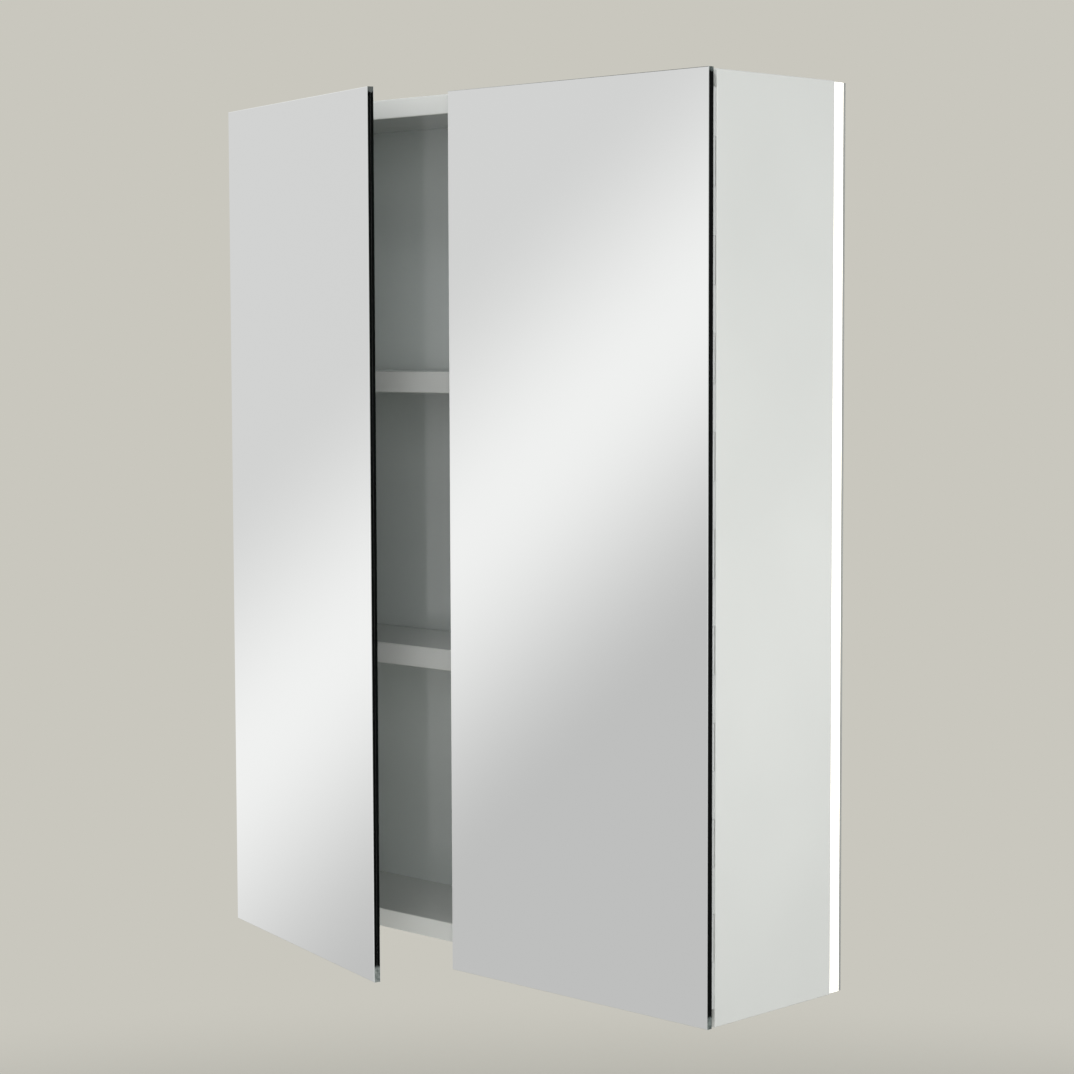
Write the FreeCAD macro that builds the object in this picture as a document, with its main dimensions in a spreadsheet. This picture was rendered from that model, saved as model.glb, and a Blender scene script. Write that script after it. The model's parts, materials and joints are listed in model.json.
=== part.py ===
import FreeCAD, Part
import math
import os
import re
import Sketcher

# Mirror cabinet for a wall, in millimetres. X runs to the right, Y into the wall, Z up.
# The wall plane is Y = 0 and the origin is the centre of the four wall screws.
# The left door stands ajar, the right door is closed.

vector = FreeCAD.Vector
doc = FreeCAD.newDocument("mirror_cabinet")

sizes = {
    # Carcass
    "cabinet_width": 597,
    "side_depth": 149.5,
    "board": 17,
    "edge_radius": 1,
    "bottom_rise": 21,
    "inner_depth": 113,
    "back_board": 6,
    "groove_depth": 5,
    "groove_end_gap": 0.5,
    "slide_gap": 0.1,
    # Dowels of the carcass corners
    "dowel_radius": 4,
    "dowel_in_side": 11,
    "dowel_in_panel": 19,
    "dowel_play": 0.05,
    "dowel_end_gap": 0.5,
    "dowel_inset": 35,
    # Shelves and the pins they lie on
    "shelf_board": 19,
    "lower_shelf_rise": 225,
    "upper_shelf_rise": 472,
    "shelf_setback": 8,
    "shelf_back_gap": 2,
    "shelf_side_gap": 1,
    "pin_radius": 2.5,
    "pin_reach": 8,
    "pin_flat": 1.9,
    "pin_inset": 22,
    "pin_hole_pitch": 32,
    # Doors of two mirror panes bonded back to back
    "door_height": 772,
    "top_reveal": 1,
    "door_gap": 4,
    "door_split": 1,
    "pane": 3,
    "bond_film": 0.2,
    "film_inset": 0.2,
    "arris": 0.4,
    "left_open_angle": 15.8,
    # Continuous hinges in the gap between the doors and the carcass
    "axis_inset": 1.6,
    "axis_ahead": 2.4,
    "knuckle_radius": 1.35,
    "knuckle_length": 39,
    "knuckle_gap": 0.3,
    "hinge_pin_radius": 0.7,
    "hinge_pin_play": 0.05,
    "hinge_end_gap": 15,
    "fixed_leaf": 1.6,
    "moving_leaf": 0.8,
    "leaf_reach": 15,
    "leaf_clearance": 0.3,
    "tongue_lap": 0.4,
    # Catches and bumpers
    "magnet_radius": 5,
    "magnet_length": 14.6,
    "magnet_spacing": 300,
    "magnet_gap": 0.2,
    "strike_radius": 7,
    "strike_sheet": 1.2,
    "bumper_radius": 4,
    "bumper_spacing": 440,
    # Light frame behind the carcass
    "back_cover": 3,
    "light_depth": 13,
    "light_inset": 1,
    "diffuser_wall": 3,
    "profile_sheet": 1.5,
    "profile_lap": 12,
    "tape_width": 8,
    "tape_thickness": 1.2,
    "led_height": 0.8,
    "led_width": 2.8,
    "led_length": 3.5,
    "led_pitch": 33,
    # Glue blocks that carry the back cover
    "glue_block_width": 20,
    "glue_block_height": 40,
    # Wall hooks and cabinet hangers
    "hook_spacing": 400,
    "hook_width": 60,
    "hook_sheet": 2,
    "hook_hole_radius": 3.25,
    "hook_hole_spacing": 24,
    "hook_edge": 12,
    "hook_standoff": 6,
    "hook_height": 14,
    "hook_play": 1.2,
    "bend_radius": 1,
    "window_gap": 5,
    "lip_length": 12,
    "hanger_width": 50,
    "hanger_height": 18,
    "hanger_room": 2,
    "hanger_back_gap": 7,
    "hanger_screw_spacing": 30,
    # LED driver, terminal, leads and cable entry
    "driver_length": 160,
    "driver_depth": 20,
    "driver_height": 42,
    "driver_drop": 129,
    "driver_ear": 12,
    "driver_ear_sheet": 2.5,
    "driver_ear_height": 20,
    "terminal_length": 34,
    "terminal_depth": 18,
    "terminal_height": 22,
    "terminal_gap": 30,
    "terminal_bore": 2,
    "terminal_bore_spacing": 10,
    "terminal_screw_hold": 4.5,
    "lead_radius": 1.5,
    "lead_hole_play": 0.25,
    "lead_turn": 58,
    "lead_straight": 28,
    "lead_bend_share": 0.45,
    "mains_radius": 3,
    "grommet_radius": 7,
    "grommet_lip": 2.5,
    "grommet_lip_depth": 2,
    "grommet_drop": 60,
    "cable_radius": 4,
    # Screws
    "screw_radius": 1.5,
    "screw_head_radius": 2.6,
    "screw_head_height": 1.2,
    "screw_play": 0.05,
    "long_screw": 16,
    "hanger_screw": 13,
    "short_screw": 7,
    "side_screw_count": 5,
    "cross_screw_count": 4,
}

sheet = doc.addObject("Spreadsheet::Sheet", "Sizes")
for row, (alias, number) in enumerate(sizes.items(), start=1):
    sheet.set(f"A{row}", alias)
    sheet.set(f"B{row}", str(number))
    sheet.setAlias(f"B{row}", alias)
doc.recompute()


# Expressions and their values

def cells(text):
    """Turns the plain names of sizes in an expression into references to the sheet."""
    return re.sub(r"[a-z_]+", lambda word: "Sizes." + word[0] if word[0] in sizes else word[0], text)


def value(text):
    return float(sheet.evalExpression(cells(text)))


def bind(item, **expressions):
    for name, text in expressions.items():
        item.setExpression(name, cells(text))


def place(item, x, y, z):
    for axis, text in zip("xyz", (x, y, z)):
        item.setExpression(f"Placement.Base.{axis}", cells(text))


def spread(count, low, high):
    """Places at the middles of equal parts of a range."""
    return [f"({low} + ({high} - {low}) * {2 * number + 1} / {2 * count})" for number in range(count)]


# Solids of the Part workbench

turns = {
    "x": FreeCAD.Rotation(vector(0, 1, 0), 90),
    "y": FreeCAD.Rotation(vector(1, 0, 0), -90),
    "-y": FreeCAD.Rotation(vector(1, 0, 0), 90),
    "z": FreeCAD.Rotation(),
    "-z": FreeCAD.Rotation(vector(1, 0, 0), 180),
}
opposite = {"y": "-y", "-y": "y", "z": "-z"}


def block(name, x_span, y_span, z_span):
    box = doc.addObject("Part::Box", name)
    lengths = [f"({high}) - ({low})" for low, high in (x_span, y_span, z_span)]
    bind(box, Length=lengths[0], Width=lengths[1], Height=lengths[2])
    place(box, x_span[0], y_span[0], z_span[0])
    return box


def rod(name, start, way, radius, length):
    cylinder = doc.addObject("Part::Cylinder", name)
    cylinder.Placement = FreeCAD.Placement(vector(), turns[way])
    bind(cylinder, Radius=radius, Height=length)
    place(cylinder, *start)
    return cylinder


def fuse(name, members):
    union = doc.addObject("Part::MultiFuse", name)
    union.Shapes = members
    return union


def cut(name, base, tools):
    result = doc.addObject("Part::Cut", name)
    result.Base = base
    result.Tool = tools[0] if len(tools) == 1 else fuse(name + "_tools", tools)
    return result


def group(name, members):
    bundle = doc.addObject("Part::Compound", name)
    bundle.Links = members
    return bundle


# Bodies with sketches

def sketch_on(body, name, plane, offset):
    """A sketch on an origin plane of its body, moved along the plane's normal."""
    sketch = body.newObject("Sketcher::SketchObject", name)
    planes = {feature.Role: feature for feature in body.Origin.OriginFeatures}
    sketch.AttachmentSupport = [(planes[plane], "")]
    sketch.MapMode = "FlatFace"
    bind(sketch, **{"AttachmentOffset.Base.z": offset})
    return sketch


def pin_point(sketch, piece, point, x, y):
    """Ties a point of a sketch to its two coordinates."""
    for kind, text in (("DistanceX", x), ("DistanceY", y)):
        constraint = Sketcher.Constraint(kind, -1, 1, piece, point, value(text))
        number = sketch.addConstraint(constraint)
        sketch.setExpression(f"Constraints[{number}]", cells(text))


def outline(sketch, corners):
    count = len(corners)
    points = [vector(value(x), value(y), 0) for x, y in corners]
    for number in range(count):
        sketch.addGeometry(Part.LineSegment(points[number], points[(number + 1) % count]), False)
    for number in range(count):
        sketch.addConstraint(Sketcher.Constraint("Coincident", number, 2, (number + 1) % count, 1))
    for number, (x, y) in enumerate(corners):
        pin_point(sketch, number, 1, x, y)


def corners_of(x_span, y_span):
    """Corners of a rectangle, in order."""
    return [(x_span[0], y_span[0]), (x_span[1], y_span[0]), (x_span[1], y_span[1]), (x_span[0], y_span[1])]


def circle(sketch, x, y, radius):
    centre = vector(value(x), value(y), 0)
    sketch.addGeometry(Part.Circle(centre, vector(0, 0, 1), value(radius)), False)
    pin_point(sketch, 0, 3, x, y)
    number = sketch.addConstraint(Sketcher.Constraint("Radius", 0, value(radius)))
    sketch.setExpression(f"Constraints[{number}]", cells(radius))


def pad(body, sketch, length):
    feature = body.newObject("PartDesign::Pad", sketch.Name + "_pad")
    feature.Profile = sketch
    bind(feature, Length=length)
    return feature


def pattern(body, features, axis, step, count):
    """Repeats features along an axis of the body."""
    row = body.newObject("PartDesign::LinearPattern", body.Name + "_row")
    axes = {feature.Role: feature for feature in body.Origin.OriginFeatures}
    row.Originals = features
    row.Direction = (axes[axis], [""])
    row.Occurrences = count
    bind(row, Length=f"{step} * {count - 1}")
    body.Tip = row


def extrusion(name, plane, start, length, corners):
    """A body that is one outline drawn out along the normal of a plane."""
    body = doc.addObject("PartDesign::Body", name)
    sketch = sketch_on(body, name + "_section", plane, start)
    outline(sketch, corners)
    pad(body, sketch, length)
    return body


near = 0.0001


def round_edges(body, name, radius, chosen):
    """Rounds the edges of a body whose middles pass a test."""
    doc.recompute()
    base = body.Tip
    middles = [edge.CenterOfMass for edge in base.Shape.Edges]
    picked = [f"Edge{number}" for number, middle in enumerate(middles, start=1) if chosen(middle)]
    fillet = body.newObject("PartDesign::Fillet", name)
    fillet.Base = (base, picked)
    bind(fillet, Radius=radius)


def round_bends(body, section, outer, inner):
    """Rounds the outer and inner corners of a bent sheet drawn out along X."""
    bends = (("outer", outer, "bend_radius + hook_sheet"), ("inner", inner, "bend_radius"))
    for word, corners, radius in bends:
        spots = [(value(section[corner][0]), value(section[corner][1])) for corner in corners]
        round_edges(body, f"{body.Name}_{word}_bends", radius, lambda middle: any(
            abs(middle.y - y) < near and abs(middle.z - z) < near for y, z in spots))


def board_blank(name, x_span, y_span, z_span):
    """A plain board before it is drilled and grooved."""
    thickness = f"({z_span[1]}) - ({z_span[0]})"
    return extrusion(name, "XY_Plane", z_span[0], thickness, corners_of(x_span, y_span))


def round_front(body, front_y):
    """Rounds the two long edges at the front of a level board."""
    depth = value(front_y)
    round_edges(body, body.Name + "_front", "edge_radius",
                lambda middle: abs(middle.y - depth) < near and abs(middle.x) < near)


# Screws and the bores that they sit in

def screw_set(name, seats, way, length):
    """Pan head screws at their seats, with one bore for each through whatever it holds."""
    screws = []
    bores = []
    for number, seat in enumerate(seats, start=1):
        label = f"{name}_{number}"
        head = rod(label + "_head", seat, opposite[way], "screw_head_radius", "screw_head_height")
        shank = rod(label + "_shank", seat, way, "screw_radius", length)
        screws.append(fuse(label, [head, shank]))
        bores.append(rod(label + "_bore", seat, way, "screw_radius + screw_play", length + " + screw_play"))
    return screws, bores


# Main planes, as expressions of the driving dimensions

hook_end = "(hook_hole_spacing / 2 + hook_edge)"
hook_top = f"({hook_end} + hook_sheet + hook_height)"
ceiling = f"({hook_top} + hook_sheet + hanger_height)"
top = f"({ceiling} + board)"
door_top = f"({top} + top_reveal)"
low = f"({door_top} - door_height)"
floor = f"({low} + bottom_rise + board)"
rear = "(-back_cover - light_depth)"
front = f"({rear} - side_depth)"
back_front = f"({front} + inner_depth)"
back_rear = f"({back_front} + back_board)"
door_rear = f"({front} - door_gap)"
inner_width = "(cabinet_width - 2 * board)"
inner_half = f"({inner_width} / 2)"
inside = (f"-{inner_half}", inner_half)
sides = ("left", "right")
ends = ("top", "bottom")
nodes = {}


def across(side, inset):
    """X of a line that lies a distance in from the outer face of one side."""
    if side == "right":
        return f"(cabinet_width / 2 - ({inset}))"
    return f"(({inset}) - cabinet_width / 2)"


def between(side, near, far):
    """X range between two distances in from the outer face of one side."""
    ends = (across(side, near), across(side, far))
    return ends if side == "left" else ends[::-1]


def level(end, inset):
    """Z of a line that lies a distance in from the top or bottom edge of the carcass."""
    if end == "top":
        return f"({top} - ({inset}))"
    return f"({low} + ({inset}))"


def level_span(end, near, far):
    """Z range between two distances in from the top or bottom edge of the carcass."""
    heights = (level(end, near), level(end, far))
    return heights if end == "bottom" else heights[::-1]


# Hinges: one continuous hinge on each side, its axis at the outer rear corner of the door

leaf_run = value("door_height - 2 * hinge_end_gap") / value("knuckle_length")
moving_count = int((leaf_run - 1) // 2)
hinge_length = f"({2 * moving_count + 1} * knuckle_length)"
hinge_low = f"({low} + (door_height - {hinge_length}) / 2)"
hinge_high = f"({hinge_low} + {hinge_length})"
axis_y = f"({front} - axis_ahead)"
leaf_notch = "(axis_inset + knuckle_radius + leaf_clearance)"


def hinge_leaf(name, side, y_span, first, count):
    """A leaf with knuckles at every second place along the pin."""
    body = doc.addObject("PartDesign::Body", name)
    axis_x = across(side, "axis_inset")
    knuckle_low = f"({hinge_low} + {first} * knuckle_length + knuckle_gap / 2)"
    knuckle_run = "knuckle_length - knuckle_gap"
    plate = sketch_on(body, name + "_plate", "XY_Plane", hinge_low)
    outline(plate, corners_of(between(side, leaf_notch, "leaf_reach"), y_span))
    pad(body, plate, hinge_length)
    tongue = sketch_on(body, name + "_tongue", "XY_Plane", knuckle_low)
    outline(tongue, corners_of(between(side, "axis_inset - tongue_lap", leaf_notch), y_span))
    tongue_pad = pad(body, tongue, knuckle_run)
    knuckle = sketch_on(body, name + "_knuckle", "XY_Plane", knuckle_low)
    circle(knuckle, axis_x, axis_y, "knuckle_radius")
    knuckle_pad = pad(body, knuckle, knuckle_run)
    doc.recompute()
    pattern(body, [tongue_pad, knuckle_pad], "Z_Axis", "2 * knuckle_length", count)
    hole = sketch_on(body, name + "_hole", "XY_Plane", hinge_low)
    circle(hole, axis_x, axis_y, "hinge_pin_radius + hinge_pin_play")
    doc.recompute()
    solid_volume = body.Shape.Volume
    pocket = body.newObject("PartDesign::Pocket", name + "_pocket")
    pocket.Profile = hole
    pocket.Reversed = True
    bind(pocket, Length=hinge_length)
    doc.recompute()
    if body.Shape.Volume >= solid_volume:
        raise RuntimeError(f"the pin hole of {name} cuts nothing")
    return body


hinge_bores = {}
for side in sides:
    leaf_depth = (f"{front} - fixed_leaf", front)
    fixed = hinge_leaf(side + "_fixed_leaf_blank", side, leaf_depth, 0, moving_count + 1)
    seat_x = across(side, "board / 2")
    heights = spread(int(value("side_screw_count")), hinge_low, hinge_high)
    seats = [(seat_x, f"{front} - fixed_leaf", height) for height in heights]
    screws, hinge_bores[side] = screw_set(side + "_hinge_screw", seats, "y", "long_screw")
    nodes[side + "_hinge_fixed_leaf"] = cut(side + "_hinge_fixed_leaf", fixed, hinge_bores[side])
    nodes[side + "_hinge_screws"] = group(side + "_hinge_screws", screws)
    pin_start = (across(side, "axis_inset"), axis_y, hinge_low)
    nodes[side + "_hinge_pin"] = rod(side + "_hinge_pin", pin_start, "z", "hinge_pin_radius", hinge_length)


# Doors: two panes with a bonding film between, the hinge leaf and a strike disc

def stand_ajar(body):
    """Turns a piece of the left door about its hinge axis."""
    x = across("left", "axis_inset")
    y = axis_y
    base_x = f"{x} - {x} * cos(left_open_angle) - {y} * sin(left_open_angle)"
    base_y = f"{y} + {x} * sin(left_open_angle) - {y} * cos(left_open_angle)"
    base = f"create(<<vector>>; {base_x}; {base_y}; 0)"
    turn = "create(<<rotation>>; create(<<vector>>; 0; 0; 1); -left_open_angle)"
    bind(body, Placement=f"create(<<placement>>; {base}; {turn})")


def sheet_body(name, x_span, z_span, rear_y, thickness):
    """An upright sheet that reaches forward from its rear face."""
    return extrusion(name, "XZ_Plane", f"-({rear_y})", thickness, corners_of(x_span, z_span))


def grind_arris(body, forward):
    """Takes the sharp edge off the front or rear face of a pane."""
    doc.recompute()
    pane = body.Tip
    faces = pane.Shape.Faces
    pick = min if forward else max
    face = pick(range(len(faces)), key=lambda number: faces[number].CenterOfMass.y)
    chamfer = body.newObject("PartDesign::Chamfer", body.Name + "_arris")
    chamfer.Base = (pane, [f"Face{face + 1}"])
    bind(chamfer, Size="arris")


for side in sides:
    width = between(side, "0", "(cabinet_width - door_split) / 2")
    height = (low, door_top)
    film_width = (f"{width[0]} + film_inset", f"{width[1]} - film_inset")
    film_height = (f"{low} + film_inset", f"{door_top} - film_inset")
    film_rear = f"{door_rear} - pane"
    front_rear = f"{film_rear} - bond_film"
    rear_pane = sheet_body(side + "_rear_pane", width, height, door_rear, "pane")
    grind_arris(rear_pane, forward=False)
    film = sheet_body(side + "_bond_film", film_width, film_height, film_rear, "bond_film")
    front_pane = sheet_body(side + "_front_pane", width, height, front_rear, "pane")
    grind_arris(front_pane, forward=True)
    leaf_depth = (door_rear, f"{door_rear} + moving_leaf")
    leaf = hinge_leaf(side + "_hinge_moving_leaf", side, leaf_depth, 1, moving_count)
    strike = doc.addObject("PartDesign::Body", side + "_strike")
    disc = sketch_on(strike, side + "_strike_disc", "XZ_Plane", f"-({door_rear} + strike_sheet)")
    strike_x = "magnet_spacing / 2" if side == "right" else "-magnet_spacing / 2"
    circle(disc, strike_x, f"{top} - board / 2", "strike_radius")
    pad(strike, disc, "strike_sheet")
    for piece in (rear_pane, film, front_pane, leaf, strike):
        nodes[piece.Name] = piece
        if side == "left":
            stand_ajar(piece)


# Light frame: diffusers, profiles, tapes and corner links on the four sides

inset_near = "(light_inset + diffuser_wall)"
web_face = "(board - profile_sheet)"
tape_face = f"({web_face} - tape_thickness)"
led_face = f"({tape_face} - led_height)"
flange_rear = f"({rear} + profile_sheet)"
light_span = (rear, "-back_cover")
tape_middle = f"(({flange_rear} - back_cover) / 2)"
tape_span = (f"{tape_middle} - tape_width / 2", f"{tape_middle} + tape_width / 2")
led_span = (f"{tape_middle} - led_width / 2", f"{tape_middle} + led_width / 2")
screw_inset = f"(({inset_near} + {tape_face}) / 2)"
upright_run = f"({top} - {low} - 2 * board)"
profile_section = [
    (inset_near, rear),
    ("board", rear),
    ("board", "-back_cover"),
    (web_face, "-back_cover"),
    (web_face, flange_rear),
    (inset_near, flange_rear),
]
bottom_section = [
    (inset_near, rear),
    ("(bottom_rise + profile_lap)", rear),
    ("(bottom_rise + profile_lap)", flange_rear),
    ("board", flange_rear),
    ("board", "-back_cover"),
    (web_face, "-back_cover"),
    (web_face, flange_rear),
    (inset_near, flange_rear),
]


def led_tape(name, plane, axis, start, run, point):
    """A tape along a web, with LEDs at a steady pitch; point turns inset and depth into sketch axes."""
    body = doc.addObject("PartDesign::Body", name)
    strip = sketch_on(body, name + "_strip", plane, start)
    outline(strip, [point(inset, depth) for inset, depth in corners_of((tape_face, web_face), tape_span)])
    pad(body, strip, run)
    count = int(value(f"{run} / led_pitch"))
    first = f"({start} + ({run} - {count - 1} * led_pitch - led_length) / 2)"
    chip = sketch_on(body, name + "_chip", plane, first)
    outline(chip, [point(inset, depth) for inset, depth in corners_of((led_face, tape_face), led_span)])
    chip_pad = pad(body, chip, "led_length")
    doc.recompute()
    pattern(body, [chip_pad], axis, "led_pitch", count)
    return body


lead_height = "(-driver_drop)"
lead_hole = rod("lead_hole", (across("left", web_face), tape_middle, lead_height), "x",
                "lead_radius + lead_hole_play", "profile_sheet")
profile_screws = []
profile_bores = {}

for side in sides:
    strip_span = (f"{low} + light_inset", f"{top} - light_inset")
    nodes[side + "_diffuser"] = block(side + "_diffuser", between(side, "light_inset", inset_near),
                                      light_span, strip_span)
    corners = [(across(side, inset), depth) for inset, depth in profile_section]
    blank = extrusion(side + "_profile_blank", "XY_Plane", f"{low} + board", upright_run, corners)
    heights = spread(int(value("side_screw_count")), f"({low} + board)", ceiling)
    seats = [(across(side, screw_inset), flange_rear, height) for height in heights]
    screws, profile_bores[side] = screw_set(side + "_profile_screw", seats, "-y", "long_screw")
    profile_screws += screws
    tools = profile_bores[side] + ([lead_hole] if side == "left" else [])
    nodes[side + "_led_profile"] = cut(side + "_led_profile", blank, tools)
    nodes[side + "_led_tape"] = led_tape(side + "_led_tape", "XY_Plane", "Z_Axis", f"({low} + board)",
                                         upright_run,
                                         lambda inset, depth, side=side: (across(side, inset), depth))

for end in ends:
    strip_ends = level_span(end, "light_inset", inset_near)
    strip_width = (across("left", inset_near), across("right", inset_near))
    nodes[end + "_diffuser"] = block(end + "_diffuser", strip_width, light_span, strip_ends)
    section = profile_section if end == "top" else bottom_section
    corners = [(depth, level(end, inset)) for inset, depth in section]
    blank = extrusion(end + "_profile_blank", "YZ_Plane", inside[0], inner_width, corners)
    seat_inset = screw_inset if end == "top" else "(bottom_rise + profile_lap / 2)"
    places = spread(int(value("cross_screw_count")), *inside)
    seats = [(x, flange_rear, level(end, seat_inset)) for x in places]
    screws, profile_bores[end] = screw_set(end + "_profile_screw", seats, "-y", "long_screw")
    profile_screws += screws
    nodes[end + "_led_profile"] = cut(end + "_led_profile", blank, profile_bores[end])
    nodes[end + "_led_tape"] = led_tape(end + "_led_tape", "YZ_Plane", "X_Axis", inside[0], inner_width,
                                        lambda inset, depth, end=end: (depth, level(end, inset)))

nodes["profile_screws"] = group("profile_screws", profile_screws)

corner_links = []
for side in sides:
    for end in ends:
        upright = block(f"{side}_{end}_link_upright", between(side, tape_face, web_face), tape_span,
                        level_span(end, tape_face, "board"))
        flat = block(f"{side}_{end}_link_flat", between(side, web_face, "board"), tape_span,
                     level_span(end, tape_face, web_face))
        corner_links.append(fuse(f"{side}_{end}_link", [upright, flat]))
nodes["tape_corner_links"] = group("tape_corner_links", corner_links)


# Wall hooks, and the hangers that the cabinet hangs by

hook_back = "(hook_standoff + hook_sheet)"
web_back = f"({hook_back} + hanger_room)"
hook_section = [
    ("0", f"-{hook_end}"),
    ("0", f"{hook_end} + hook_sheet"),
    ("-hook_standoff", f"{hook_end} + hook_sheet"),
    ("-hook_standoff", hook_top),
    (f"-{hook_back}", hook_top),
    (f"-{hook_back}", hook_end),
    ("-hook_sheet", hook_end),
    ("-hook_sheet", f"-{hook_end}"),
]
lip_front = "(hook_standoff - hook_play)"
hanger_section = [
    (f"-({lip_front} - hook_sheet)", f"{hook_top} - lip_length"),
    (f"-({lip_front} - hook_sheet)", f"{hook_top} + hook_sheet"),
    (f"-{web_back}", f"{hook_top} + hook_sheet"),
    (f"-{web_back}", ceiling),
    (f"{back_rear} + hanger_back_gap", ceiling),
    (f"{back_rear} + hanger_back_gap", f"{ceiling} - hook_sheet"),
    (f"-({web_back} + hook_sheet)", f"{ceiling} - hook_sheet"),
    (f"-({web_back} + hook_sheet)", hook_top),
    (f"-{lip_front}", hook_top),
    (f"-{lip_front}", f"{hook_top} - lip_length"),
]
hook_middle = {"left": "(-hook_spacing / 2)", "right": "(hook_spacing / 2)"}
hanger_screws = []
hanger_bores = []
windows = []
for side in sides:
    middle = hook_middle[side]
    blank = extrusion(side + "_hook_blank", "YZ_Plane", f"{middle} - hook_width / 2", "hook_width",
                      hook_section)
    round_bends(blank, hook_section, outer=(1, 5), inner=(2, 6))
    holes = [rod(f"{side}_hook_hole_{number}", (middle, "0", f"{sign} * hook_hole_spacing / 2"), "-y",
                 "hook_hole_radius", "hook_sheet") for number, sign in enumerate((-1, 1), start=1)]
    nodes[side + "_wall_hook"] = cut(side + "_wall_hook", blank, holes)
    blank = extrusion(side + "_hanger_blank", "YZ_Plane", f"{middle} - hanger_width / 2", "hanger_width",
                      hanger_section)
    round_bends(blank, hanger_section, outer=(1, 3, 7), inner=(2, 6, 8))
    seat_y = f"(({back_rear} + hanger_back_gap - {web_back} - hook_sheet) / 2)"
    seats = [(f"{middle} + {sign} * hanger_screw_spacing / 2", seat_y, f"{ceiling} - hook_sheet")
             for sign in (-1, 1)]
    screws, bores = screw_set(side + "_hanger_screw", seats, "z", "hanger_screw")
    hanger_screws += screws
    hanger_bores += bores
    nodes[side + "_hanger"] = cut(side + "_hanger", blank, bores)
    window_width = (f"{middle} - hook_width / 2 - window_gap", f"{middle} + hook_width / 2 + window_gap")
    window_height = (f"-{hook_end} - window_gap", f"{hook_top} + hook_sheet + window_gap")
    windows.append(block(side + "_window", window_width, ("-back_cover", "0"), window_height))
nodes["hanger_screws"] = group("hanger_screws", hanger_screws)


# Back cover on glue blocks

block_middles = (f"({ceiling} - glue_block_height / 2)", f"(({ceiling} + {floor}) / 2)",
                 f"({floor} + glue_block_height / 2)")
glue_blocks = []
cover_screws = []
cover_tools = []
for side in sides:
    x_span = between(side, "board", "board + glue_block_width")
    for number, middle in enumerate(block_middles, start=1):
        label = f"{side}_glue_block_{number}"
        z_span = (f"{middle} - glue_block_height / 2", f"{middle} + glue_block_height / 2")
        blank = block(label + "_blank", x_span, (back_rear, "-back_cover"), z_span)
        seat_x = across(side, "board + glue_block_width / 2")
        seat = (seat_x, "-screw_head_height - screw_play", middle)
        screws, bores = screw_set(label + "_screw", [seat], "-y", "long_screw")
        recess = rod(label + "_recess", (seat_x, "0", middle), "-y", "screw_head_radius + screw_play",
                     "screw_head_height + screw_play")
        glue_blocks.append(cut(label, blank, bores))
        cover_screws += screws
        cover_tools += bores + [recess]
nodes["cover_blocks"] = group("cover_blocks", glue_blocks)
nodes["cover_screws"] = group("cover_screws", cover_screws)


# LED driver, terminal, leads and the grommet of the cable entry

driver_back = f"({back_rear} + driver_depth)"
driver_middle_y = f"({back_rear} + driver_depth / 2)"
driver_case = block("driver_case", ("-driver_length / 2", "driver_length / 2"), (back_rear, driver_back),
                    ("-driver_drop - driver_height / 2", "-driver_drop + driver_height / 2"))
ear_depth = (back_rear, f"{back_rear} + driver_ear_sheet")
ear_height = ("-driver_drop - driver_ear_height / 2", "-driver_drop + driver_ear_height / 2")
left_ear = ("-driver_length / 2 - driver_ear", "-driver_length / 2")
right_ear = ("driver_length / 2", "driver_length / 2 + driver_ear")
ears = [block("driver_left_ear", left_ear, ear_depth, ear_height),
        block("driver_right_ear", right_ear, ear_depth, ear_height)]
seats = [(f"{sign} * (driver_length + driver_ear) / 2", f"{back_rear} + driver_ear_sheet", lead_height)
         for sign in (-1, 1)]
electric_screws, electric_bores = screw_set("driver_screw", seats, "-y", "short_screw")
nodes["led_driver"] = cut("led_driver", fuse("driver_blank", [driver_case] + ears), electric_bores)

terminal_start = "(driver_length / 2 + terminal_gap)"
terminal_middle = f"({terminal_start} + terminal_length / 2)"
terminal_rear = f"({back_rear} + terminal_depth)"
terminal_blank = block("terminal_blank", (terminal_start, f"{terminal_start} + terminal_length"),
                       (back_rear, terminal_rear),
                       ("-driver_drop - terminal_height / 2", "-driver_drop + terminal_height / 2"))
terminal_tools = []
for pole in (1, 2, 3):
    pole_x = f"{terminal_middle} + ({pole} - 2) * terminal_bore_spacing"
    pole_start = (pole_x, f"{back_rear} + terminal_depth / 2", "-driver_drop - terminal_height / 2")
    terminal_tools.append(rod(f"terminal_bore_{pole}", pole_start, "z", "terminal_bore",
                              "terminal_height / 3"))
    well_start = (pole_x, terminal_rear, "-driver_drop - terminal_height / 4")
    terminal_tools.append(rod(f"terminal_well_{pole}", well_start, "-y", "terminal_bore",
                              "terminal_depth / 4"))
terminal_seat = (terminal_middle, terminal_rear, "-driver_drop + terminal_height / 4")
terminal_screws, terminal_screw_bores = screw_set("terminal_screw", [terminal_seat], "-y",
                                                  "terminal_depth + terminal_screw_hold")
nodes["mains_terminal"] = cut("mains_terminal", terminal_blank, terminal_tools + terminal_screw_bores)
nodes["electric_screws"] = group("electric_screws", electric_screws + terminal_screws)

mains_start = ("driver_length / 2", f"{back_rear} + terminal_depth / 2", lead_height)
nodes["mains_lead"] = rod("mains_lead", mains_start, "x", "mains_radius", "terminal_gap")

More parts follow.
